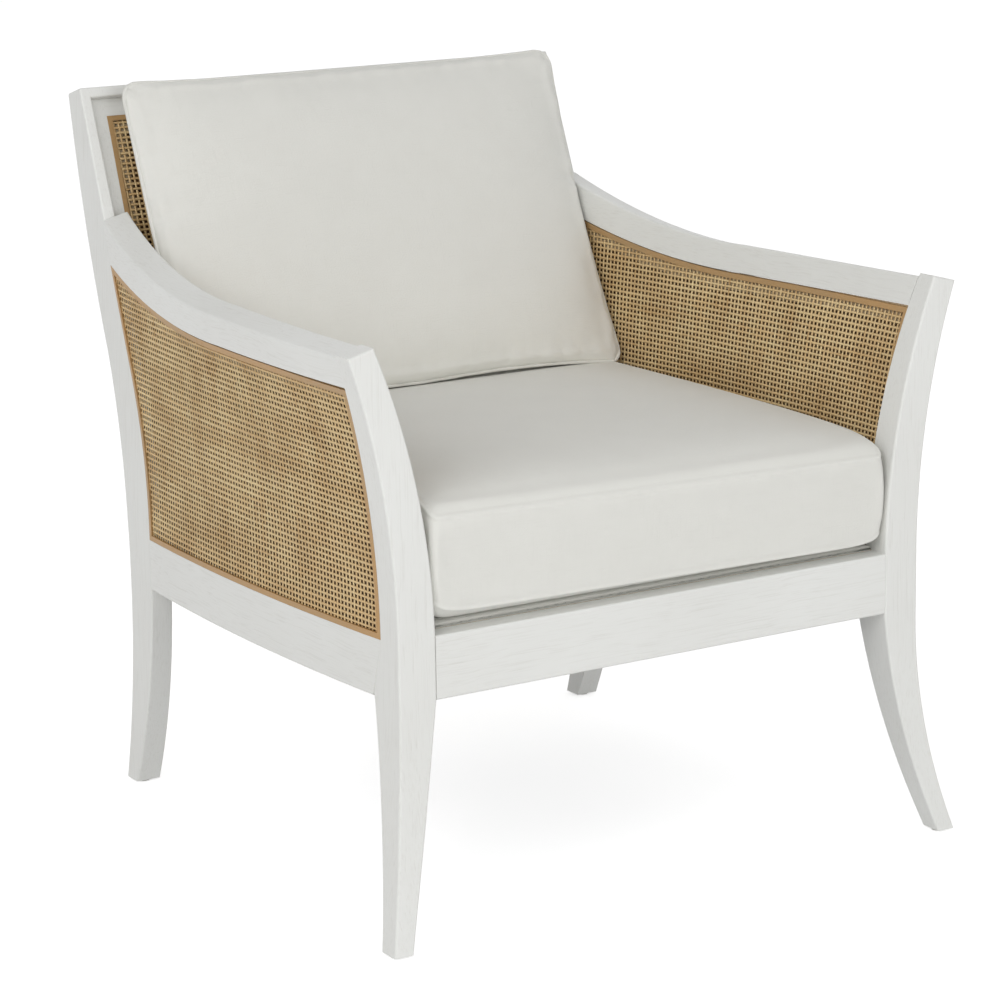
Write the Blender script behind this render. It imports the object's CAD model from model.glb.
import math

import bpy
import numpy as np
from bpy.props import FloatProperty, FloatVectorProperty, IntProperty, PointerProperty
from mathutils import Matrix, Vector, noise
from mathutils.bvhtree import BVHTree


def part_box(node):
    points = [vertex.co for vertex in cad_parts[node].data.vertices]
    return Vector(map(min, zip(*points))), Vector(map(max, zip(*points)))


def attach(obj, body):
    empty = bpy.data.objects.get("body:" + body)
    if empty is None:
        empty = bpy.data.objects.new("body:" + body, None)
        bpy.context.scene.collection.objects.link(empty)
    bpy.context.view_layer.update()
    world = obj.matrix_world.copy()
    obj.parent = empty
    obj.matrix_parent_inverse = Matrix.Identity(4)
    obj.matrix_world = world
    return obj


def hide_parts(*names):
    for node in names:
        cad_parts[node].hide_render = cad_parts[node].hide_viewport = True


bl_info = {
    "name": "Accent chair",
    "version": (1, 0, 0),
    "blender": (4, 5, 0),
    "location": "3D View > Sidebar > Chair",
    "description": "Dresses the packed chair: brushed paint, woven cane, linen cushions",
    "category": "Object",
}

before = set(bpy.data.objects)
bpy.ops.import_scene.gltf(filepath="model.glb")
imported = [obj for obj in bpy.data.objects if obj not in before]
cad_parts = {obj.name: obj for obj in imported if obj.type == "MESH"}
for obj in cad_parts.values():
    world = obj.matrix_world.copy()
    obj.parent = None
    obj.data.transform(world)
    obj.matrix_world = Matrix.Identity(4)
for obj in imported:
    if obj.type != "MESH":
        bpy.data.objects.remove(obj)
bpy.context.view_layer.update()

FLOOR_HALF, FLOOR_GLOW = 9.0, 0.64
LEAN = math.radians(21.8)  # of the back
PILLOW_SLUMP = math.radians(3.4)  # how much more the pillow leans than the back

CROWN_SUNK = 0.35  # share of a strand's crown that lies below its middle line
STRAND_SUNK = 0.0007  # how far a strand's middle line lies below the face of the CAD sheet
WEAVE_LIFT = 0.42  # rise and fall of a strand over its neighbours, as a share of the crown
RAY_START = 0.5  # how far before a sheet the rays that find it start
EDGE_HALVINGS = 9
SIDE_CANE_X = 0.34
SIDE_CANE_FALL = 0.012  # of the side sheets' level strands towards the rear

BAND_WIDTH, BANDS = 0.050, 6
BAND_GRID = (61, 9)
CLOTH_GRID = (49, 45)
HEM_SHARE = 0.998  # where a stapled cloth turns down, as a share of its half width
STAPLE_PULL = 0.0009
PANEL_INTO_GROOVE = 0.0045

# Distances of a cover's first rows of points from a seam, and the step beyond them.
SEAM_STEPS = (0.0, 0.0012, 0.0026, 0.0045, 0.0075, 0.012, 0.019)
COVER_STEP = 0.011
SEAM_ROLL = 0.008
ROLL_REACH = 0.012
BOXING_SWELL = 0.0050
SEAM_HALF_WIDTH = 0.0019
FOLD_ALONG, FOLD_IN = 0.016, 0.030
FOLD_START, FOLD_REACH = 0.0025, 0.017
SLACK_SIZE, SLACK_START = 0.11, 0.05
SETTLE_PRESSURE, SETTLE_LIMIT = 2.5, 0.004

SEAT_CORNER = 0.012  # radius in plan
SEAT_TOP_SEAM, SEAT_LOW_SEAM = 0.1125, 0.0135  # heights over the deck at the front
SEAT_FULLER = 0.018  # how much higher the top seam runs along the sides
SEAT_TOP_TIP, SEAT_LOW_TIP, TIP_REACH = 0.0060, 0.0038, 0.35  # the front's fall to the far side
SEAT_CORNER_LIFT = 0.011

PILLOW_HALF_WIDTH = 0.2945
PILLOW_CORNER = 0.019
PILLOW_BEFORE_CREST = 0.030
PILLOW_FACE, PILLOW_BACK, PILLOW_FOOT_FULLER = 0.052, 0.038, 0.020  # thickness either side of the seam
PILLOW_LIFT = 0.0088  # of the bottom seam's middle over the seat
WELT_STEP = 0.004
WELT_TURNS = 14

PAINTED = (
    "front_leg_left", "front_leg_right", "rear_leg_left", "rear_leg_right",
    "front_seat_rail", "rear_seat_rail", "side_seat_rail_left", "side_seat_rail_right",
    "arm_rail_left", "arm_rail_right", "crest_rail", "lower_back_rail",
)
GRAIN_ALONG_X = ("front_seat_rail", "rear_seat_rail", "crest_rail", "lower_back_rail")
GRAIN_ALONG_Y = ("side_seat_rail_left", "side_seat_rail_right", "arm_rail_left", "arm_rail_right")


class FrameSettings(bpy.types.PropertyGroup):
    paint: FloatVectorProperty(
        name="Paint", description="Colour of the painted frame", subtype="COLOR",
        default=(0.83, 0.835, 0.81), min=0, max=1,
    )
    paint_in_grain: FloatVectorProperty(
        name="Paint in the grain", description="Colour where the brushed grain shows", subtype="COLOR",
        default=(0.72, 0.715, 0.68), min=0, max=1,
    )
    grain_width: FloatProperty(
        name="Grain width", description="Distance between brushed grain lines", unit="LENGTH",
        default=0.0016, min=0.0002, max=0.01,
    )
    grain_depth: FloatProperty(
        name="Grain depth", description="Depth of the brushed grain", unit="LENGTH",
        default=0.00012, min=0, max=0.001,
    )


class CaneSettings(bpy.types.PropertyGroup):
    pitch_along: FloatProperty(
        name="Pitch along", description="Distance between upright strands", unit="LENGTH",
        default=0.0066, min=0.003, max=0.03,
    )
    pitch_up: FloatProperty(
        name="Pitch up", description="Distance between level strands", unit="LENGTH",
        default=0.0062, min=0.003, max=0.03,
    )
    strand_width: FloatProperty(
        name="Strand width", description="Width of one split cane strand", unit="LENGTH",
        default=0.0034, min=0.001, max=0.01,
    )
    strand_crown: FloatProperty(
        name="Strand crown", description="Height of the rounded face of a strand", unit="LENGTH",
        default=0.00055, min=0.0001, max=0.002,
    )
    straw: FloatVectorProperty(
        name="Straw", description="Lightest strands", subtype="COLOR",
        default=(0.95, 0.76, 0.43), min=0, max=1,
    )
    tan: FloatVectorProperty(
        name="Tan", description="Common strand colour", subtype="COLOR",
        default=(0.82, 0.58, 0.29), min=0, max=1,
    )
    honey: FloatVectorProperty(
        name="Honey", description="Darkest strands and patches", subtype="COLOR",
        default=(0.50, 0.29, 0.11), min=0, max=1,
    )
    spline: FloatVectorProperty(
        name="Spline", description="Cane spline round each panel", subtype="COLOR",
        default=(0.42, 0.27, 0.125), min=0, max=1,
    )


class CoverSettings(bpy.types.PropertyGroup):
    linen: FloatVectorProperty(
        name="Linen", description="Colour of the covers", subtype="COLOR",
        default=(0.870, 0.866, 0.818), min=0, max=1,
    )
    linen_slub: FloatVectorProperty(
        name="Linen slub", description="Colour of the thicker threads", subtype="COLOR",
        default=(0.80, 0.795, 0.745), min=0, max=1,
    )
    thread: FloatProperty(
        name="Thread spacing", description="Distance between threads of the linen", unit="LENGTH",
        default=0.0007, min=0.0002, max=0.003,
    )
    welt: FloatProperty(
        name="Welt", description="Diameter of the welt round the back pillow", unit="LENGTH",
        default=0.0048, min=0.002, max=0.02,
    )
    seam_ridge: FloatProperty(
        name="Seam ridge", description="How far the sewn edge stands out at a seam", unit="LENGTH",
        default=0.0016, min=0, max=0.01,
    )
    pucker: FloatProperty(
        name="Pucker", description="Height of the small folds beside a seam", unit="LENGTH",
        default=0.0010, min=0, max=0.01,
    )
    settle_frames: IntProperty(
        name="Settle frames", description="Steps of the cloth simulation that settles a cover",
        default=20, min=1, max=60,
    )


class StageSettings(bpy.types.PropertyGroup):
    floor: FloatVectorProperty(
        name="Floor", description="Colour of the floor and backdrop", subtype="COLOR",
        default=(0.90, 0.90, 0.90), min=0, max=1,
    )
    room: FloatProperty(
        name="Room light", description="Strength of the room's light at eye level",
        default=0.56, min=0, max=3,
    )
    overhead: FloatProperty(
        name="Overhead light", description="Strength of the room's light from straight above",
        default=0.48, min=0, max=3,
    )
    key: FloatProperty(
        name="Key light", description="Power of the large light at the front", unit="POWER",
        default=33.0, min=0, max=1000,
    )
    side: FloatProperty(
        name="Side light", description="Power of the large light at the near side", unit="POWER",
        default=42.0, min=0, max=1000,
    )


# Shader groups and materials


def new_group(name, inputs, outputs):
    """A shader node group with its sockets: (name, kind, default) in, (name, kind) out."""
    group = bpy.data.node_groups.new(name, "ShaderNodeTree")
    for title, kind, default in inputs:
        socket = group.interface.new_socket(title, in_out="INPUT", socket_type=kind)
        if default is not None:
            socket.default_value = default
    for title, kind in outputs:
        group.interface.new_socket(title, in_out="OUTPUT", socket_type=kind)
    w = Wiring(group)
    return w, w.node("NodeGroupInput").outputs, w.node("NodeGroupOutput").inputs


class Wiring:
    """Adds nodes to one tree and links them."""

    def __init__(self, tree):
        self.tree = tree

    def node(self, kind, **values):
        made = self.tree.nodes.new(kind)
        for key, value in values.items():
            setattr(made, key, value)
        return made

    def link(self, source, target):
        self.tree.links.new(source, target)

    def maths(self, operation, first, second=None, clamp=False):
        made = self.node("ShaderNodeMath", operation=operation, use_clamp=clamp)
        for socket, value in zip(made.inputs, (first, second)):
            if isinstance(value, (int, float)):
                socket.default_value = value
            elif value is not None:
                self.link(value, socket)
        return made.outputs[0]

    def object_place(self):
        return self.node("ShaderNodeTexCoord").outputs["Object"]

    def cloth_place(self):
        return self.node("ShaderNodeUVMap", uv_map="cloth").outputs["UV"]

    def seen(self, *rays):
        """1 for a ray of one of these kinds, as the picture's background needs it, else 0."""
        path = self.node("ShaderNodeLightPath").outputs
        share = path[rays[0]]
        for ray in rays[1:]:
            share = self.maths("MAXIMUM", share, path[ray])
        return share

    def noise(self, vector, scale, detail=2.0, roughness=0.5):
        made = self.node("ShaderNodeTexNoise")
        self.link(vector, made.inputs["Vector"])
        made.inputs["Scale"].default_value = scale
        made.inputs["Detail"].default_value = detail
        made.inputs["Roughness"].default_value = roughness
        return made.outputs["Fac"]

    def stretch(self, vector, scale):
        made = self.node("ShaderNodeVectorMath", operation="MULTIPLY")
        self.link(vector, made.inputs[0])
        if isinstance(scale, (tuple, list)):
            made.inputs[1].default_value = scale
        else:
            self.link(scale, made.inputs[1])
        return made.outputs[0]

    def spread(self, value, low, high, to_low=0.0, to_high=1.0):
        made = self.node("ShaderNodeMapRange")
        self.link(value, made.inputs["Value"])
        made.inputs["From Min"].default_value = low
        made.inputs["From Max"].default_value = high
        made.inputs["To Min"].default_value = to_low
        made.inputs["To Max"].default_value = to_high
        return made.outputs["Result"]

    def blend(self, share, first, second):
        made = self.node("ShaderNodeMix", data_type="RGBA")
        self.link(share, made.inputs["Factor"])
        for socket, value in ((made.inputs[6], first), (made.inputs[7], second)):
            if isinstance(value, (tuple, list)):
                socket.default_value = (*value[:3], 1.0)
            else:
                self.link(value, socket)
        return made.outputs[2]

    def finish(self, shader, colour, roughness, height, depth):
        """Feeds a surface's colour, roughness and relief to its shader."""
        self.link(colour, shader.inputs["Base Color"])
        self.link(roughness, shader.inputs["Roughness"])
        bump = self.node("ShaderNodeBump")
        bump.inputs["Distance"].default_value = depth
        self.link(height, bump.inputs["Height"])
        self.link(bump.outputs["Normal"], shader.inputs["Normal"])


def brushed_grain_group():
    """Fine lines along one direction, with a slow wander, as wire-brushed wood shows under paint."""
    w, ins, outs = new_group(
        "BrushedGrain",
        [("Place", "NodeSocketVector", None), ("Across", "NodeSocketVector", (600.0, 600.0, 12.0))],
        [("Lines", "NodeSocketFloat"), ("Height", "NodeSocketFloat"), ("Patches", "NodeSocketFloat")],
    )
    wander = w.noise(ins["Place"], 9.0, 2.0)
    bend = w.node("ShaderNodeVectorMath", operation="SCALE")
    w.link(ins["Place"], bend.inputs[0])
    w.link(w.spread(wander, 0.0, 1.0, 0.985, 1.015), bend.inputs["Scale"])
    stretched = w.stretch(bend.outputs[0], ins["Across"])
    fine = w.noise(stretched, 1.0, 3.0, 0.6)
    broad = w.noise(w.stretch(stretched, (0.22, 0.22, 0.5)), 1.0, 2.0)
    lines = w.maths("MULTIPLY", w.spread(fine, 0.50, 0.72), w.spread(broad, 0.35, 0.65, 0.35, 1.0))
    w.link(lines, outs["Lines"])
    w.link(w.maths("SUBTRACT", 1.0, lines), outs["Height"])
    w.link(w.noise(ins["Place"], 5.0, 3.0), outs["Patches"])


def linen_group():
    """Plain weave with slubs, laid out by the cover's own warp and weft."""
    w, ins, outs = new_group(
        "LinenWeave",
        [("Cloth", "NodeSocketVector", None), ("Spacing", "NodeSocketFloat", 0.0007)],
        [("Slub", "NodeSocketFloat"), ("Height", "NodeSocketFloat"), ("Tone", "NodeSocketFloat")],
    )
    parts = w.node("ShaderNodeSeparateXYZ")
    w.link(ins["Cloth"], parts.inputs[0])
    turn = w.maths("DIVIDE", math.pi, ins["Spacing"])
    warp, weft = (w.maths("ABSOLUTE", w.maths("SINE", w.maths("MULTIPLY", parts.outputs[axis], turn)))
                  for axis in (0, 1))
    along, across = (w.noise(w.stretch(ins["Cloth"], scale), 1.0, 3.0, 0.65)
                     for scale in ((900.0, 26.0, 1.0), (26.0, 900.0, 1.0)))
    slub = w.maths("MAXIMUM", w.spread(along, 0.56, 0.78), w.spread(across, 0.56, 0.78))
    w.link(slub, outs["Slub"])
    threads = w.maths("MULTIPLY", w.maths("ADD", warp, weft), 0.5)
    w.link(w.maths("ADD", threads, w.maths("MULTIPLY", slub, 0.8)), outs["Height"])
    w.link(w.noise(ins["Cloth"], 14.0, 3.0), outs["Tone"])


def fibre_group():
    """Long fibres, patches and nodes of split cane; Strand holds metres along, metres across and a number."""
    w, ins, outs = new_group(
        "CaneFibre",
        [("Strand", "NodeSocketVector", None), ("Place", "NodeSocketVector", None)],
        [("Fibre", "NodeSocketFloat"), ("Patch", "NodeSocketFloat"), ("Node", "NodeSocketFloat")],
    )
    fibre = w.noise(w.stretch(ins["Strand"], (45.0, 2600.0, 3.7)), 1.0, 3.0, 0.6)
    w.link(w.spread(fibre, 0.3, 0.7), outs["Fibre"])
    w.link(w.spread(w.noise(ins["Place"], 13.0, 3.0, 0.55), 0.38, 0.66), outs["Patch"])
    knots = w.noise(w.stretch(ins["Strand"], (14.0, 0.0, 5.3)), 1.0, 1.0)
    w.link(w.spread(knots, 0.66, 0.74), outs["Node"])


MADE_MATERIALS = {}


def new_material(name):
    """A new material, kept by its plain name because the frame has one of that name too."""
    made = bpy.data.materials.new(name)
    MADE_MATERIALS[name] = made
    made.use_nodes = True
    tree = made.node_tree
    return made, Wiring(tree), tree.nodes["Principled BSDF"]


def grouped(w, group, **inputs):
    """Places a shader group with its values and gives its outputs."""
    made = w.node("ShaderNodeGroup")
    made.node_tree = bpy.data.node_groups[group]
    for title, value in inputs.items():
        if isinstance(value, (int, float, tuple)):
            made.inputs[title].default_value = value
        else:
            w.link(value, made.inputs[title])
    return made.outputs


def painted_material(settings, name, grain):
    """Off-white paint brushed over open grain that runs along one axis."""
    made, w, shader = new_material(name)
    across = 1.0 / settings.grain_width
    scale = [across, across, across]
    scale[grain] = across * 0.02
    effect = grouped(w, "BrushedGrain", Place=w.object_place(), Across=tuple(scale))
    tone = w.spread(effect["Patches"], 0.3, 0.7, 0.0, 0.28)
    share = w.maths("ADD", w.maths("MULTIPLY", effect["Lines"], 0.62), tone, clamp=True)
    colour = w.blend(share, settings.paint[:], settings.paint_in_grain[:])
    rough = w.maths("ADD", w.maths("MULTIPLY", effect["Lines"], 0.18), 0.40)
    w.finish(shader, colour, rough, effect["Height"], settings.grain_depth)
    shader.inputs["Specular IOR Level"].default_value = 0.42
    return made


def bare_material():
    """Planed poplar inside the seat: pale, with growth rings along its length."""
    made, w, shader = new_material("bare_poplar")
    effect = grouped(w, "BrushedGrain", Place=w.object_place(), Across=(10.0, 260.0, 420.0))
    colour = w.blend(effect["Lines"], (0.60, 0.47, 0.31), (0.40, 0.28, 0.16))
    colour = w.blend(w.spread(effect["Patches"], 0.3, 0.8, 0.0, 0.5), colour, (0.50, 0.42, 0.27))
    w.finish(shader, colour, w.spread(effect["Lines"], 0.0, 1.0, 0.62, 0.78), effect["Height"], 0.0001)
    return made


def board_material():
    """Thin pressed board, stained brown so that it doesn't show through the cane."""
    made, w, shader = new_material("brown_board")
    flecks = w.noise(w.object_place(), 700.0, 3.0, 0.6)
    colour = w.blend(w.spread(flecks, 0.3, 0.7), (0.24, 0.135, 0.06), (0.14, 0.078, 0.034))
    w.finish(shader, colour, w.spread(flecks, 0.2, 0.8, 0.7, 0.85), flecks, 0.0001)
    return made


def cane_material(settings):
    """Split cane: a tone for each strand, fibres along it, darker nodes and honey patches."""
    made, w, shader = new_material("woven_cane")
    tone = w.node("ShaderNodeAttribute", attribute_name="tone").outputs["Fac"]
    strand = w.node("ShaderNodeAttribute", attribute_name="strand").outputs["Vector"]
    effect = grouped(w, "CaneFibre", Strand=strand, Place=w.object_place())
    colour = w.blend(tone, settings.straw[:], settings.tan[:])
    dark = w.maths("SUBTRACT", 1.0, effect["Fibre"])
    for share, part in ((effect["Patch"], 0.42), (effect["Node"], 0.6), (dark, 0.22)):
        colour = w.blend(w.maths("MULTIPLY", share, part), colour, settings.honey[:])
    w.finish(shader, colour, w.spread(effect["Fibre"], 0.0, 1.0, 0.58, 0.42), effect["Fibre"], 0.00012)
    shader.inputs["Specular IOR Level"].default_value = 0.4
    return made


def spline_material(settings):
    """Round cane pressed into the groove: darker than the sheet, with glue-dark edges."""
    made, w, shader = new_material("cane_spline")
    effect = grouped(w, "BrushedGrain", Place=w.object_place(), Across=(160.0, 160.0, 160.0))
    colour = w.blend(w.spread(effect["Patches"], 0.3, 0.7), settings.spline[:], settings.honey[:])
    colour = w.blend(w.maths("MULTIPLY", effect["Lines"], 0.5), colour, settings.honey[:])
    w.finish(shader, colour, w.spread(effect["Lines"], 0.0, 1.0, 0.45, 0.62), effect["Height"], 0.00015)
    return made


def linen_material(settings):
    """Off-white linen with a soft sheen."""
    made, w, shader = new_material("linen_cover")
    effect = grouped(w, "LinenWeave", Cloth=w.cloth_place(), Spacing=settings.thread)
    share = w.maths("MULTIPLY", effect["Slub"], 0.34)
    colour = w.blend(share, settings.linen[:], settings.linen_slub[:])
    colour = w.blend(w.spread(effect["Tone"], 0.3, 0.7, 0.0, 0.22), colour, settings.linen_slub[:])
    w.finish(shader, colour, w.spread(effect["Slub"], 0.0, 1.0, 0.92, 0.80), effect["Height"], 0.00022)
    shader.inputs["Specular IOR Level"].default_value = 0.25
    shader.inputs["Sheen Weight"].default_value = 0.18
    shader.inputs["Sheen Roughness"].default_value = 0.5
    return made


def band_material(name, light, dark, spacing):
    """Webbing and lining cloth: ribbed or woven by the piece's own map."""
    made, w, shader = new_material(name)
    effect = grouped(w, "LinenWeave", Cloth=w.cloth_place(), Spacing=spacing)
    colour = w.blend(w.maths("MULTIPLY", effect["Height"], 0.55), dark, light)
    rough = w.spread(effect["Tone"], 0.0, 1.0, 0.80, 0.95)
    w.finish(shader, colour, rough, effect["Height"], spacing * 0.3)
    return made


def nylon_material():
    """Grey-white nylon, scuffed by the floor."""
    made, w, shader = new_material("nylon")
    scuff = w.noise(w.object_place(), 900.0, 3.0)
    colour = w.blend(scuff, (0.55, 0.54, 0.50), (0.40, 0.39, 0.36))
    w.finish(shader, colour, w.spread(scuff, 0.2, 0.8, 0.35, 0.6), scuff, 0.00008)
    return made


def give_material(piece, material):
    """Puts one material in every slot of a CAD node or a new piece."""
    if not piece.material_slots:
        piece.data.materials.append(material)
    for place in piece.material_slots:
        place.material = material


# Meshes


def corners(name):
    """The lowest and highest corner of a CAD node."""
    return (np.array(corner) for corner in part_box(name))


def new_piece(name, points, faces, body, nodes, material, smooth=True):
    """A mesh piece on a body, standing for CAD nodes."""
    mesh = bpy.data.meshes.new(name)
    mesh.from_pydata([tuple(p) for p in points], [], [tuple(f) for f in faces])
    mesh.update()
    if smooth:
        mesh.shade_smooth()
    piece = bpy.data.objects.new(name, mesh)
    bpy.context.scene.collection.objects.link(piece)
    mesh.materials.append(material)
    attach(piece, body)
    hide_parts(*nodes)
    return piece


def lay_cloth(piece, flat):
    """Maps the piece's cloth in metres, from one flat place for each vertex."""
    mesh = piece.data
    layer = mesh.uv_layers.new(name="cloth")
    turns = np.empty(len(mesh.loops), dtype=np.int32)
    mesh.loops.foreach_get("vertex_index", turns)
    layer.data.foreach_set("uv", np.asarray(flat, dtype=np.float32)[turns].ravel())


def node_surface(name):
    """A CAD node's mesh as a tree that rays can meet."""
    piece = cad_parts[name]
    placed = [piece.matrix_world @ v.co for v in piece.data.vertices]
    return BVHTree.FromPolygons(placed, [tuple(p.vertices) for p in piece.data.polygons])


def strand(points, normals, width, crown):
    """Vertices and faces of one split cane strand: flat below, rounded above, closed at its ends."""
    points, normals = np.asarray(points), np.asarray(normals)
    aside = np.cross(normals, np.gradient(points, axis=0))
    aside *= width / 2 / np.linalg.norm(aside, axis=1)[:, None]
    low = points - normals * crown * CROWN_SUNK
    verts = np.stack([low - aside, points + normals * crown * (1 - CROWN_SUNK), low + aside], axis=1)
    start = np.arange(len(points) - 1)[:, None] * 3
    faces = []
    for a, b in ((0, 1), (1, 2), (2, 0)):
        faces += (start + np.array([[a, a + 3, b + 3, b]])).tolist()
    end = (len(points) - 1) * 3
    faces += [[0, 1, 2], [end, end + 2, end + 1]]
    return verts.reshape(-1, 3), faces


def runs_on_sheet(meet, starts, step, reach):
    """Follows one strand's line over the sheet and gives each run of (distance, point, normal)."""
    runs, run, before = [], [], None
    for number in range(int(reach / step) + 2):
        distance = number * step
        hit = meet(starts, distance)
        if hit is None and run:
            run.append(edge_of(meet, starts, run[-1][0], distance))
            runs.append(run)
            run = []
        elif hit is not None:
            if not run and number:
                run.append(edge_of(meet, starts, distance, before))
            run.append((distance, *hit))
        before = distance
    if run:
        runs.append(run)
    return [r for r in runs if len(r) > 3]


def edge_of(meet, starts, inside, outside):
    """The last point of a strand before the sheet's edge."""
    kept = meet(starts, inside)
    for _ in range(EDGE_HALVINGS):
        middle = (inside + outside) / 2
        hit = meet(starts, middle)
        if hit is None:
            outside = middle
        else:
            inside, kept = middle, hit
    return (inside, *kept)


def weave_sheet(name, node, origin, along, up, towards, size, settings, material):
    """Weaves one cane panel over a CAD sheet: level and upright strands, over and under."""
    tree = node_surface(node)
    origin, along, up, towards = (Vector(v) for v in (origin, along, up, towards))

    def meet(s, t):
        start = origin + along * s + up * t - towards * RAY_START
        place, normal, _, _ = tree.ray_cast(start, towards, 2 * RAY_START)
        if place is None:
            return None
        if normal.dot(towards) > 0:
            normal = -normal
        return np.array(place - normal * STRAND_SUNK), np.array(normal)

    def meet_level(row, distance):
        return meet(distance, row)

    lift = settings.strand_crown * WEAVE_LIFT
    random = np.random.default_rng(len(name) * 7 + sum(map(ord, name)))
    points, faces, tones, places = [], [], [], []
    sets = (
        (meet_level, settings.pitch_up, settings.pitch_along, size[1], size[0], 0),
        (meet, settings.pitch_along, settings.pitch_up, size[0], size[1], 1),
    )
    total = 0
    for meet_line, pitch, crossing, reach_across, reach_along, kind in sets:
        for number in range(1, int(reach_across / pitch) + 1):
            line = (number - 0.5) * pitch
            for run in runs_on_sheet(meet_line, line, crossing / 2, reach_along):
                tone = random.beta(2.2, 2.0)
                wide = settings.strand_width * random.uniform(0.88, 1.08)
                centre, normals = [], []
                for distance, place, normal in run:
                    cell = distance / crossing - 0.5
                    over = math.cos(math.pi * (cell + number + kind))
                    centre.append(place + normal * lift * over)
                    normals.append(normal)
                made, tied = strand(centre, normals, wide, settings.strand_crown)
                points.append(made)
                faces += [[i + total for i in face] for face in tied]
                total += len(made)
                distances = np.repeat([r[0] for r in run], 3)
                drift = 0.16 * np.sin(distances * 37 + number) + 0.10 * np.sin(distances * 91 + 2.3 * number)
                tones.append(np.clip(tone + drift, 0, 1))
                across = np.tile([-0.5, 0.0, 0.5], len(run)) * wide
                numbers = np.full(len(distances), number + 500.0 * kind)
                places.append(np.stack([distances, across, numbers], axis=1))
    piece = new_piece(name, np.concatenate(points), faces, "frame", [node], material)
    layers = (("tone", "FLOAT", "value", tones), ("strand", "FLOAT_VECTOR", "vector", places))
    for title, kind, key, values in layers:
        layer = piece.data.attributes.new(title, kind, "POINT")
        layer.data.foreach_set(key, np.concatenate(values).astype(np.float32).ravel())


def band_of_grid(grid):
    """Faces of a grid of points: they look up where its rows follow x and its columns follow y."""
    rows, columns = grid.shape[:2]
    faces = []
    for r in range(rows - 1):
        for c in range(columns - 1):
            a = r * columns + c
            faces.append((a, a + columns, a + columns + 1, a + 1))
    return faces


def border(grid):
    """The border of a grid, once round from its first corner."""
    return np.concatenate([grid[:, 0], grid[-1, 1:], grid[-2::-1, -1], grid[0, -2:0:-1]])


def slab(upper, under, dark_edge=False):
    """Points and faces of a thin closed sheet between two equal grids.

    A dark edge has the two large faces turned inwards, so that smooth shading keeps it in the shade.
    """
    count = upper.shape[0] * upper.shape[1]
    large = band_of_grid(upper)
    large += [tuple(i + count for i in face[::-1]) for face in large]
    if dark_edge:
        large = [face[::-1] for face in large]
    rim = border(np.arange(count).reshape(upper.shape[:2])).tolist()
    edge = [(a, a + count, b + count, b) for a, b in zip(rim, rim[1:] + rim[:1])]
    return np.concatenate([upper.reshape(-1, 3), under.reshape(-1, 3)]), large + edge


def spaced(length, near, step):
    """Places from 0 to length: the near list from each end, and even steps between."""
    inner = np.linspace(near[-1], length - near[-1], max(2, round((length - 2 * near[-1]) / step) + 1))
    edge = np.array(near[:-1])
    return np.concatenate([edge, inner, length - edge[::-1]])


def square_to_round(a, b, half_a, half_b, radius):
    """Moves grid points of a rectangle so that its corners are round."""
    over_a = np.clip((np.abs(a) - (half_a - radius)) / radius, 0, 1)
    over_b = np.clip((np.abs(b) - (half_b - radius)) / radius, 0, 1)
    round_a = over_a * np.sqrt(1 - over_b**2 / 2)
    round_b = over_b * np.sqrt(1 - over_a**2 / 2)
    return a + np.sign(a) * (round_a - over_a) * radius, b + np.sign(b) * (round_b - over_b) * radius


def panel_grid(half, radius):
    """A cover panel, finer at its seams: x and y, both with round corners, and where its seams are."""
    a = spaced(2 * half[0], SEAM_STEPS, COVER_STEP) - half[0]
    b = spaced(2 * half[1], SEAM_STEPS, COVER_STEP) - half[1]
    x, y = np.meshgrid(a, b, indexing="ij")
    edge_x, edge_y = half[0] - np.abs(x), half[1] - np.abs(y)
    along = np.where(edge_x < edge_y, y, x + 3.0)
    return x, y, *square_to_round(x, y, half[0], half[1], radius), edge_x, edge_y, along


def lengths_along(line):
    """The distance of each point of a line from its first."""
    return np.concatenate([[0], np.cumsum(np.linalg.norm(np.diff(line, axis=0), axis=1))])


def rise(distance, reach, power):
    """From 0 at an edge to 1 at a distance from it, steepest at the edge."""
    return 1 - (1 - np.clip(distance / reach, 0, 1)) ** power


class Cover:
    """Collects the panels of a sewn cover and welds them along their seams."""

    def __init__(self):
        self.points, self.faces, self.cloth, self.total = [], [], [], 0
        self.seam, self.run, self.held = [], [], []

    def panel(self, grid, cloth, seam, run, held, flip=False):
        """Adds a grid with its flat cloth, its distance from the seam and along it, and how it is held."""
        for face in band_of_grid(grid):
            face = tuple(i + self.total for i in face)
            self.faces.append(face[::-1] if flip else face)
        self.points.append(grid.reshape(-1, 3))
        self.cloth.append(cloth.reshape(-1, 2))
        self.seam.append(seam.ravel())
        self.run.append(run.ravel())
        self.held.append(held.ravel())
        self.total += grid.shape[0] * grid.shape[1]

    def build(self, name, body, node, material):
        points = np.concatenate(self.points)
        piece = new_piece(name, points, self.faces, body, [node], material)
        lay_cloth(piece, np.concatenate(self.cloth))
        for title, values in (("seam", self.seam), ("run", self.run), ("held", self.held)):
            made = piece.data.attributes.new(title, "FLOAT", "POINT")
            made.data.foreach_set("value", np.concatenate(values).astype(np.float32))
        weld = piece.modifiers.new("Sew", "WELD")
        weld.merge_threshold = 0.0002
        apply_modifiers(piece)
        return piece


def apply_modifiers(piece):
    """Leaves the piece with the mesh that its modifiers give."""
    graph = bpy.context.evaluated_depsgraph_get()
    ready = piece.evaluated_get(graph)
    made = bpy.data.meshes.new_from_object(ready, preserve_all_data_layers=True, depsgraph=graph)
    old = piece.data
    piece.modifiers.clear()
    piece.data = made
    made.name = piece.name
    bpy.data.meshes.remove(old)


def read(items, key, width=3):
    """One value of every item, as an array with that many numbers for each."""
    flat = np.empty(len(items) * width, dtype=np.float32)
    items.foreach_get(key, flat)
    return flat.reshape(-1, width).astype(float)


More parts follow.
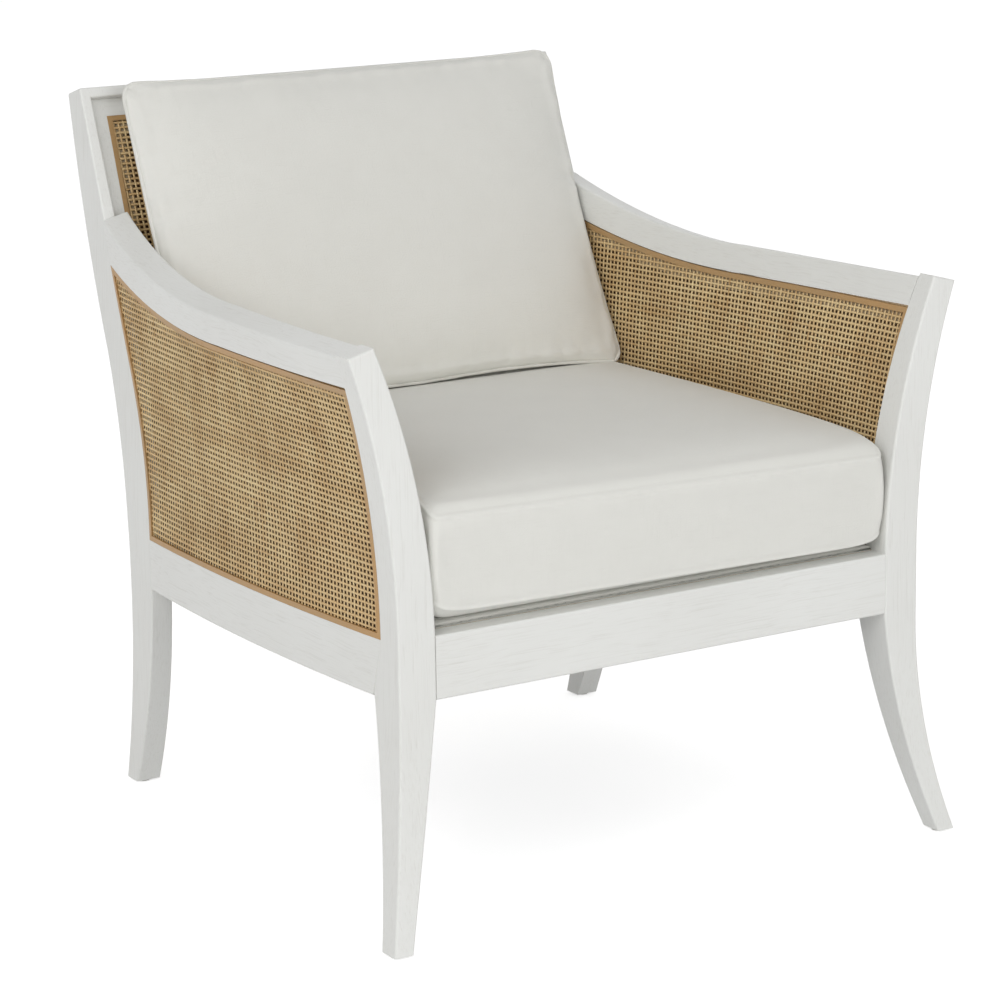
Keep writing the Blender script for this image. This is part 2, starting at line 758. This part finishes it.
def read_layer(mesh, title):
    return read(mesh.attributes[title].data, "value", 1)[:, 0]


def write_points(mesh, points):
    mesh.vertices.foreach_set("co", np.asarray(points, dtype=np.float32).ravel())
    mesh.update()


def settle_cover(piece, frames):
    """Presses a sewn cover on its filling by a short cloth simulation, with its seams held."""
    before = read(piece.data.vertices, "co")
    group = piece.vertex_groups.new(name="held")
    for number, weight in enumerate(read_layer(piece.data, "held")):
        if weight > 0.001:
            group.add([number], float(min(1.0, weight)), "REPLACE")
    cloth = piece.modifiers.new("Settle", "CLOTH")
    rules = cloth.settings
    rules.quality = 6
    rules.mass = 0.25
    rules.tension_stiffness = rules.compression_stiffness = 18
    rules.shear_stiffness = 6
    rules.bending_stiffness = 0.4
    rules.use_pressure = True
    rules.uniform_pressure_force = -SETTLE_PRESSURE
    rules.use_pressure_volume = True
    rules.target_volume = 0  # the pressure stays even as the volume changes
    rules.effector_weights.gravity = 0
    rules.vertex_group_mass = group.name
    cloth.collision_settings.use_collision = False
    cloth.point_cache.frame_start = 1
    cloth.point_cache.frame_end = frames
    scene = bpy.context.scene
    for step in range(1, frames + 1):
        scene.frame_set(step)
    ready = piece.evaluated_get(bpy.context.evaluated_depsgraph_get())
    moved = read(ready.to_mesh().vertices, "co") - before
    ready.to_mesh_clear()
    piece.modifiers.clear()
    piece.vertex_groups.clear()
    scene.frame_set(1)
    far = np.linalg.norm(moved, axis=1)
    limit = SETTLE_LIMIT * np.tanh(far / SETTLE_LIMIT) / np.maximum(far, 1e-9)
    write_points(piece.data, before + moved * limit[:, None])


def wave(points, size, seed):
    """Slow, even noise at each point, from -1 to 1."""
    shift = Vector((seed * 3.1, seed * 7.7, seed * 1.3))
    return np.array([noise.noise(Vector(p) / size + shift) for p in points])


def refine_cover(piece, settings, soft, gather):
    """Smooths the cover, then raises its seams' edge and puckers the cloth beside them."""
    smooth = piece.modifiers.new("Smooth", "SUBSURF")
    smooth.levels = smooth.render_levels = 1
    apply_modifiers(piece)
    mesh = piece.data
    points, normals = read(mesh.vertices, "co"), read(mesh.vertex_normals, "vector")
    seam, run, held = (read_layer(mesh, title) for title in ("seam", "run", "held"))
    folds = wave(np.stack([run / FOLD_ALONG, seam / FOLD_IN, np.zeros(len(run))], axis=1), 1.0, 1)
    beside = np.exp(-seam / FOLD_REACH) * (1 - np.exp(-seam / FOLD_START))
    away = (1 - np.exp(-seam / SLACK_START)) * (1 - np.clip(held, 0, 1))
    shape = settings.seam_ridge * np.exp(-((seam / SEAM_HALF_WIDTH) ** 2))
    shape -= gather * settings.pucker * folds * beside
    shape -= soft * wave(points, SLACK_SIZE, 3) * away
    write_points(mesh, points + normals * shape[:, None])
    mesh.shade_smooth()


# Operators


class CHAIR_OT_set_stage(bpy.types.Operator):
    """Floor, backdrop light, lamps and the camera"""

    bl_idname = "chair.set_stage"
    bl_label = "Set the stage"

    def execute(self, context):
        settings = context.scene.chair_stage
        scene = context.scene
        scene.view_settings.view_transform = "Standard"
        mesh = bpy.data.meshes.new("floor")
        corner = FLOOR_HALF
        mesh.from_pydata(
            [(-corner, -corner, 0), (corner, -corner, 0), (corner, corner, 0), (-corner, corner, 0)],
            [], [(0, 1, 2, 3)],
        )
        floor = bpy.data.objects.new("floor", mesh)
        scene.collection.objects.link(floor)
        made, w, shader = new_material("studio_floor")
        even = w.spread(w.noise(w.object_place(), 1.5, 2.0), 0.0, 1.0, 0.0, 0.05)
        darker = [0.96 * part for part in settings.floor]
        w.link(w.blend(even, settings.floor[:], darker), shader.inputs["Base Color"])
        shader.inputs["Roughness"].default_value = 0.95
        shader.inputs["Specular IOR Level"].default_value = 0.1
        shader.inputs["Emission Color"].default_value = (1, 1, 1, 1)
        seen = w.seen("Is Camera Ray", "Is Glossy Ray")
        w.link(w.maths("MULTIPLY", seen, FLOOR_GLOW), shader.inputs["Emission Strength"])
        mesh.materials.append(made)

        world = bpy.data.worlds.new("studio")
        scene.world = world
        world.use_nodes = True
        w = Wiring(world.node_tree)
        back = world.node_tree.nodes["Background"]
        back.inputs["Color"].default_value = (1.0, 1.0, 1.0, 1.0)
        seen = w.seen("Is Camera Ray", "Is Glossy Ray", "Is Transmission Ray")
        height = w.node("ShaderNodeSeparateXYZ")
        w.link(w.node("ShaderNodeTexCoord").outputs["Generated"], height.inputs[0])
        lit = w.spread(height.outputs[2], 0.0, 1.0, settings.room, settings.overhead)
        kept = w.maths("MULTIPLY", lit, w.maths("SUBTRACT", 1.0, seen))
        w.link(w.maths("ADD", kept, seen), back.inputs["Strength"])

        lamps = (
            ("front_light", (0.3, -3.9, 1.5), 2.6, settings.key),
            ("near_side_light", (-3.0, -2.0, 2.35), 2.2, settings.side),
        )
        for name, place, width, power in lamps:
            lamp = bpy.data.lights.new(name, "AREA")
            lamp.shape = "SQUARE"
            lamp.size = width
            lamp.energy = power
            holder = bpy.data.objects.new(name, lamp)
            scene.collection.objects.link(holder)
            turn = (Vector((0, 0, 0.45)) - Vector(place)).to_track_quat("-Z", "Y")
            holder.matrix_world = Matrix.Translation(place) @ turn.to_matrix().to_4x4()

        camera = bpy.data.cameras.new("camera")
        camera.sensor_width = 36.0
        camera.lens = 124.965
        camera.clip_end = 50.0
        right = Vector((0.84271686, -0.53831598, -0.00664822))
        up = Vector((0.13422934, 0.1981407, 0.97093911))
        ahead = Vector((0.52135475, 0.81911914, -0.23923431))
        turn = Matrix((right, up, -ahead)).transposed()
        holder = bpy.data.objects.new("camera", camera)
        holder.matrix_world = Matrix.Translation((-2.08262, -3.29640, 1.31852)) @ turn.to_4x4()
        scene.collection.objects.link(holder)
        scene.camera = holder
        return {"FINISHED"}


class CHAIR_OT_paint_frame(bpy.types.Operator):
    """Brushed off-white paint on the wood, with the grain along each piece"""

    bl_idname = "chair.paint_frame"
    bl_label = "Paint the frame"

    def execute(self, context):
        settings = context.scene.chair_frame
        brushed_grain_group()
        finishes = [painted_material(settings, "painted_wood_" + word, axis)
                    for axis, word in enumerate(("across", "deep", "upright"))]
        for name in PAINTED:
            grain = 0 if name in GRAIN_ALONG_X else 1 if name in GRAIN_ALONG_Y else 2
            give_material(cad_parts[name], finishes[grain])
        return {"FINISHED"}


class CHAIR_OT_finish_seat_base(bpy.types.Operator):
    """Bare wood, the lining boards between the cane sheets, and the nylon glides"""

    bl_idname = "chair.finish_seat_base"
    bl_label = "Finish the seat base"

    def execute(self, context):
        bare, board = bare_material(), board_material()
        for name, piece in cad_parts.items():
            if name.startswith(("ledger_strip", "corner_block", "cane_cleat", "back_cleat")):
                give_material(piece, bare)
            elif name.startswith("side_lining_board"):
                self.grooved(name, piece, board)
            elif name == "back_lining_board":
                give_material(piece, board)
        give_material(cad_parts["foot_glides"], nylon_material())
        return {"FINISHED"}

    def grooved(self, name, node, material):
        """The side's lining board, with its top edge let into a groove under the cleat."""
        points = np.array([node.matrix_world @ v.co for v in node.data.vertices])
        deep = np.linspace(points[:, 1].min(), points[:, 1].max(), 60)
        slot = np.digitize(points[:, 1], deep)
        for number in np.unique(slot):
            column = np.flatnonzero(slot == number)
            heights = points[column, 2]
            if heights.max() > 0.5:
                points[column[heights > heights.max() - 0.004], 2] += PANEL_INTO_GROOVE
        faces = [tuple(p.vertices) for p in node.data.polygons]
        new_piece(name + "_panel", points, faces, "frame", [name], material, smooth=False)


class CHAIR_OT_stretch_webbing(bpy.types.Operator):
    """Elastic bands woven both ways, the deck cloth over them and the dust cover below"""

    bl_idname = "chair.stretch_webbing"
    bl_label = "Stretch the webbing and cloths"

    def execute(self, context):
        linen_group()
        webbing = band_material("elastic_webbing", (0.10, 0.10, 0.10), (0.035, 0.033, 0.03), 0.0022)
        lining = band_material("dark_cloth", (0.060, 0.060, 0.062), (0.022, 0.022, 0.024), 0.0009)
        self.bands("webbing_front_to_back", 1, webbing)
        self.bands("webbing_side_to_side", 0, webbing)
        cover = linen_material(context.scene.chair_cover)
        self.cloth("deck_cloth", 0.0, cover, ["ledger_strip_front", "ledger_strip_rear"], "linen_cover")
        self.cloth("dust_cover", -0.006, lining, ["ledger_strip_front", "ledger_strip_rear"], "dark_cloth")
        return {"FINISHED"}

    def bands(self, node, axis, material):
        """Ribbed bands side by side along one axis."""
        low, high = corners(node)
        thick = high[2] - low[2]
        spacing = (high[1 - axis] - low[1 - axis] - BAND_WIDTH) / (BANDS - 1)
        along = np.linspace(low[axis], high[axis], BAND_GRID[0])
        share = np.linspace(-0.5, 0.5, BAND_GRID[1])
        sunk = thick * 0.12 * (1 - np.cos(share * math.pi * 8))
        turn = (1, 0, 2) if axis == 1 else (0, 1, 2)
        flat = np.stack(np.meshgrid(along, share * BAND_WIDTH, indexing="ij"), axis=-1)
        points, faces, cloth = [], [], []
        for number in range(BANDS):
            upper, under = np.zeros((2, *BAND_GRID, 3))
            for grid, height in ((upper, high[2] - sunk), (under, low[2] + sunk)):
                grid[:, :, axis] = along[:, None]
                grid[:, :, 1 - axis] = low[1 - axis] + BAND_WIDTH / 2 + number * spacing + share * BAND_WIDTH
                grid[:, :, 2] = height
                cloth.append(flat.transpose(turn).reshape(-1, 2))
            made, tied = slab(upper.transpose(turn), under.transpose(turn))
            faces += [tuple(i + number * len(made) for i in face) for face in tied]
            points.append(made)
        piece = new_piece(node + "_bands", np.concatenate(points), faces, "frame", [node],
                          material, smooth=False)
        lay_cloth(piece, np.concatenate(cloth))

    def cloth(self, node, sag, material, carriers, slot):
        """A cloth stapled at its edges: flat with its hem turned down, or with a slight hollow."""
        low, high = corners(node)
        middle, half = (low + high) / 2, (high - low) / 2
        across, deep = (np.linspace(-1, 1, count) for count in CLOTH_GRID)
        across[[1, -2]], deep[[1, -2]] = (-HEM_SHARE, HEM_SHARE), (-HEM_SHARE, HEM_SHARE)
        x, y = np.meshgrid(across, deep, indexing="ij")
        height = np.full(x.shape, high[2])
        if sag:
            pull = np.cos(x * 46) * np.exp(-(1 - np.abs(y)) / 0.05)
            pull += np.cos(y * 44) * np.exp(-(1 - np.abs(x)) / 0.05)
            height += sag * (1 - x**4) * (1 - y**4) + STAPLE_PULL * pull - 0.0010
        else:
            height[np.maximum(np.abs(x), np.abs(y)) > 0.999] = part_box("front_seat_rail")[1][2] + 0.0006
        upper = np.stack([middle[0] + half[0] * x, middle[1] + half[1] * y, height], axis=-1)
        if not sag:
            upper[:, [0, -1], 1] += (-0.0003, 0.0003)
        points, faces = slab(upper, upper - np.array([0, 0, high[2] - low[2]]), dark_edge=not sag)
        piece = new_piece(node + "_sheet", points, faces, "frame", [node], material)
        flat = np.stack([x * half[0], y * half[1]], axis=-1).reshape(-1, 2)
        lay_cloth(piece, np.concatenate([flat, flat]))


class CHAIR_OT_weave_side_cane(bpy.types.Operator):
    """Woven cane on both faces of each side"""

    bl_idname = "chair.weave_side_cane"
    bl_label = "Weave the side cane"

    def execute(self, context):
        settings = context.scene.chair_cane
        fibre_group()
        material = cane_material(settings)
        for side, sign in (("left", -1), ("right", 1)):
            for face, towards in (("outer", -sign), ("inner", sign)):
                node = "side_cane_%s_%s" % (face, side)
                low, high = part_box(node)
                origin = (SIDE_CANE_X * sign, low[1] - 0.004, low[2] - 0.004)
                slope = Vector((0, 1, -SIDE_CANE_FALL)).normalized()
                size = (high[1] - low[1] + 0.008, high[2] - low[2] + 0.016)
                weave_sheet(node + "_weave", node, origin, slope, (0, 0, 1), (towards, 0, 0), size,
                            settings, material)
        return {"FINISHED"}


class CHAIR_OT_weave_back_cane(bpy.types.Operator):
    """Woven cane on both faces of the back"""

    bl_idname = "chair.weave_back_cane"
    bl_label = "Weave the back cane"

    def execute(self, context):
        settings = context.scene.chair_cane
        material = MADE_MATERIALS["woven_cane"]
        up = Vector((0, math.sin(LEAN), math.cos(LEAN)))
        square = Vector((0, math.cos(LEAN), -math.sin(LEAN)))
        for node, sign in (("back_cane_front", 1), ("back_cane_rear", -1)):
            low, high = corners(node)
            height = (high[2] - low[2]) / math.cos(LEAN)
            middle = (low + high) / 2
            origin = Vector((low[0] - 0.003, middle[1], middle[2])) - up * (height / 2 + 0.003)
            size = (high[0] - low[0] + 0.006, height + 0.006)
            weave_sheet(node + "_weave", node, origin, (1, 0, 0), up, square * sign, size, settings, material)
        return {"FINISHED"}


class CHAIR_OT_finish_splines(bpy.types.Operator):
    """The cane splines round the panels"""

    bl_idname = "chair.finish_splines"
    bl_label = "Finish the splines"

    def execute(self, context):
        material = spline_material(context.scene.chair_cane)
        for name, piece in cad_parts.items():
            if "spline" in name:
                give_material(piece, material)
        return {"FINISHED"}


class CHAIR_OT_sew_seat_cushion(bpy.types.Operator):
    """The box seat cushion: crowned top, boxing and plain seams"""

    bl_idname = "chair.sew_seat_cushion"
    bl_label = "Sew the seat cushion"

    def execute(self, context):
        settings = context.scene.chair_cover
        material = MADE_MATERIALS["linen_cover"]
        low, high = corners("seat_cushion")
        low[1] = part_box("front_seat_rail")[0][1] + 0.0010
        half = (high - low)[:2] / 2 - BOXING_SWELL
        middle = (high + low)[:2] / 2
        x, y, round_x, round_y, edge_x, edge_y, along = panel_grid(half, SEAT_CORNER)
        seam = np.minimum(edge_x, edge_y)

        def upper_seam(across, deep):
            """Height of the top seam: low at the front, fuller along the sides, pressed at the rear."""
            share = (deep / half[1] + 1) / 2
            fuller = SEAT_FULLER * (1 - np.exp(-share / 0.045)) * (1 - 0.40 * share**2)
            tip = SEAT_TOP_TIP * across / half[0] * np.exp(-share / TIP_REACH)
            return low[2] + SEAT_TOP_SEAM + fuller - tip

        def lower_seam(across, deep):
            """Height of the bottom seam, which the filling lifts off the deck."""
            share = (deep / half[1] + 1) / 2
            corner = SEAT_CORNER_LIFT * (across / half[0] * deep / half[1]) ** 20
            tip = SEAT_LOW_TIP * across / half[0] * np.exp(-share / TIP_REACH)
            return low[2] + SEAT_LOW_SEAM + corner - tip

        share = (y / half[1] + 1) / 2
        crown = high[2] - 0.001 - SEAM_ROLL - float(upper_seam(0.0, 0.0))
        form = rise(edge_x, 0.20, 2.3) * rise(edge_y, 0.13, 2.2) * (1 - 0.45 * share**3)
        cover = Cover()
        cloth = np.stack([x, y], axis=-1)
        held = np.exp(-((seam / ROLL_REACH) ** 2))
        top = upper_seam(x, y) + SEAM_ROLL * (1 - np.exp(-seam / ROLL_REACH)) + crown * form
        grid = np.stack([round_x + middle[0], round_y + middle[1], top], axis=-1)
        cover.panel(grid, cloth, seam, along, held)
        drop = (lower_seam(x, y) - low[2] - 0.0008) * rise(seam, 0.045, 2.4)
        under = np.stack([round_x + middle[0], round_y + middle[1], lower_seam(x, y) - drop], axis=-1)
        cover.panel(under, cloth + 1.7, seam, along + 9.0, np.ones_like(seam), flip=True)

        rim, flat_rim = (border(np.stack(pair, axis=-1)) for pair in ((round_x, round_y), (x, y)))
        rim, flat_rim = (np.concatenate([line, line[:1]]) for line in (rim, flat_rim))
        ahead = np.gradient(rim, axis=0)
        out = np.stack([ahead[:, 1], -ahead[:, 0]], axis=1)
        out /= np.linalg.norm(out, axis=1)[:, None]
        out[0] = out[-1] = (out[0] + out[-1]) / np.linalg.norm(out[0] + out[-1])
        lengths = lengths_along(rim)
        foot, head = lower_seam(*flat_rim.T), upper_seam(*flat_rim.T)
        tall = float((head - foot).mean())
        steps = spaced(tall, SEAM_STEPS[:-1], COVER_STEP)
        share = steps / tall
        swell = BOXING_SWELL * (4 * share * (1 - share)) ** 0.6
        band = np.zeros((len(rim), len(steps), 3))
        band[:, :, :2] = rim[:, None] + out[:, None] * swell[None, :, None] + middle
        band[:, :, 2] = foot[:, None] + (head - foot)[:, None] * share
        to_seam = np.tile(np.minimum(steps, tall - steps), (len(rim), 1))
        runs = lengths[:, None] + 20.0 + 5.0 * (share > 0.5)
        cloth = np.stack(np.meshgrid(lengths, steps + 4.0, indexing="ij"), axis=-1)
        cover.panel(band, cloth, to_seam, runs, np.exp(-((to_seam / ROLL_REACH) ** 2)))
        piece = cover.build("seat_cushion_cover", "seat_cushion_body", "seat_cushion", material)
        settle_cover(piece, settings.settle_frames)
        refine_cover(piece, settings, 0.0014, 0.6)
        return {"FINISHED"}


class CHAIR_OT_sew_back_pillow(bpy.types.Operator):
    """The knife-edge back pillow with a welt of its own cloth"""

    bl_idname = "chair.sew_back_pillow"
    bl_label = "Sew the back pillow"

    def execute(self, context):
        settings = context.scene.chair_cover
        material = MADE_MATERIALS["linen_cover"]
        low, high = corners("back_cushion")
        head = np.array([0.0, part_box("crest_rail")[0][1] - PILLOW_BEFORE_CREST, high[2]])
        lean = LEAN + PILLOW_SLUMP
        up = np.array([0.0, math.sin(lean), math.cos(lean)])
        front = np.array([0.0, -math.cos(lean), math.sin(lean)])
        reach = (high[2] - low[2] + 0.003) / math.cos(lean)
        foot = head - up * reach
        half = np.array([PILLOW_HALF_WIDTH, reach / 2])
        x, y, round_x, round_y, edge_x, edge_y, along = panel_grid(half, PILLOW_CORNER)
        seam = np.minimum(edge_x, edge_y)

        part, aside = y / half[1], np.abs(x) / half[0]
        share = (round_y / half[1] + 1) / 2
        top = reach - 0.0040 + 0.0050 * aside**4
        bottom = PILLOW_LIFT - 0.0120 * aside**4 - 0.0030 * np.exp(-((x / 0.07) ** 2))
        height = bottom + (top - bottom) * share
        flat_x = round_x * (1 - 0.012 * (1 - part**2)) + 0.004 + 0.004 * share
        set_back = 0.008 * (1 - part**2) * aside**2
        rest = foot + flat_x[..., None] * np.array([1.0, 0.0, 0.0])
        rest = rest + height[..., None] * up - set_back[..., None] * front

        form = rise(edge_x, half[0], 3.0) ** 0.5 * rise(edge_y, half[1], 2.6) ** 0.5
        belly = 1 - 0.10 * part * (1 - part**2)
        cover = Cover()
        cloth = np.stack([x, y], axis=-1)
        held = np.exp(-((seam / 0.010) ** 2))
        face = rest + front * (PILLOW_FACE * form * belly)[..., None]
        cover.panel(face, cloth, seam, along, held)
        fullness = (PILLOW_BACK + PILLOW_FOOT_FULLER * (1 - share)) * form**0.85
        back = rest - front * fullness[..., None]
        cover.panel(back, cloth + 2.3, seam, along + 9.0, np.maximum(held, 0.6), flip=True)
        piece = cover.build("back_pillow_cover", "back_cushion_body", "back_cushion", material)
        settle_cover(piece, settings.settle_frames)
        refine_cover(piece, settings, 0.0020, 4.0)
        self.welt(settings, material, rest, front)
        return {"FINISHED"}

    def welt(self, settings, material, rest, front):
        """A covered cord sewn in the pillow's edge, drawn up a little between stitches."""
        keep = []
        for point in border(rest):
            if not keep or np.linalg.norm(point - keep[-1]) > WELT_STEP:
                keep.append(point)
        line = np.array(keep)
        ahead = np.roll(line, -1, 0) - np.roll(line, 1, 0)
        ahead /= np.linalg.norm(ahead, axis=1)[:, None]
        out = np.cross(ahead, front)
        radius = settings.welt / 2
        points, faces, cloth = [], [], []
        for centre, side, run in zip(line, out, lengths_along(line)):
            tight = radius * (1 + 0.05 * math.sin(run * 420) + 0.04 * math.sin(run * 133))
            for k in range(WELT_TURNS):
                angle = 2 * math.pi * k / WELT_TURNS
                aside = side * (radius * 0.7 + tight * math.cos(angle))
                points.append(centre + aside + front * tight * math.sin(angle))
                cloth.append((run * 0.7 + angle * radius, angle * radius - run * 0.7))
        count = len(line)
        for number in range(count):
            here, there = number * WELT_TURNS, (number + 1) % count * WELT_TURNS
            for k in range(WELT_TURNS):
                after = (k + 1) % WELT_TURNS
                faces.append((here + k, there + k, there + after, here + after))
        piece = new_piece("back_pillow_welt", points, faces, "back_cushion_body", ["back_cushion"],
                          material)
        lay_cloth(piece, cloth)


OPERATORS = (
    CHAIR_OT_set_stage, CHAIR_OT_paint_frame, CHAIR_OT_finish_seat_base, CHAIR_OT_stretch_webbing,
    CHAIR_OT_weave_side_cane, CHAIR_OT_weave_back_cane, CHAIR_OT_finish_splines,
    CHAIR_OT_sew_seat_cushion, CHAIR_OT_sew_back_pillow,
)
GROUPS = (
    ("chair_frame", FrameSettings), ("chair_cane", CaneSettings),
    ("chair_cover", CoverSettings), ("chair_stage", StageSettings),
)


class CHAIR_PT_pieces(bpy.types.Panel):
    """Lists the chair's operators and their settings"""

    bl_idname = "CHAIR_PT_pieces"
    bl_label = "Accent chair"
    bl_space_type = "VIEW_3D"
    bl_region_type = "UI"
    bl_category = "Chair"

    def draw(self, context):
        for name, kind in GROUPS:
            box = self.layout.box()
            for title in kind.__annotations__:
                box.prop(getattr(context.scene, name), title)
        for operator in OPERATORS:
            self.layout.operator(operator.bl_idname)


def register():
    for name, kind in GROUPS:
        bpy.utils.register_class(kind)
        setattr(bpy.types.Scene, name, PointerProperty(type=kind))
    for operator in OPERATORS:
        bpy.utils.register_class(operator)
    bpy.utils.register_class(CHAIR_PT_pieces)


def unregister():
    bpy.utils.unregister_class(CHAIR_PT_pieces)
    for operator in reversed(OPERATORS):
        bpy.utils.unregister_class(operator)
    for name, kind in reversed(GROUPS):
        delattr(bpy.types.Scene, name)
        bpy.utils.unregister_class(kind)


def main():
    register()
    for operator in OPERATORS:
        family, name = operator.bl_idname.split(".")
        getattr(getattr(bpy.ops, family), name)()


if __name__ == "__main__":
    main()
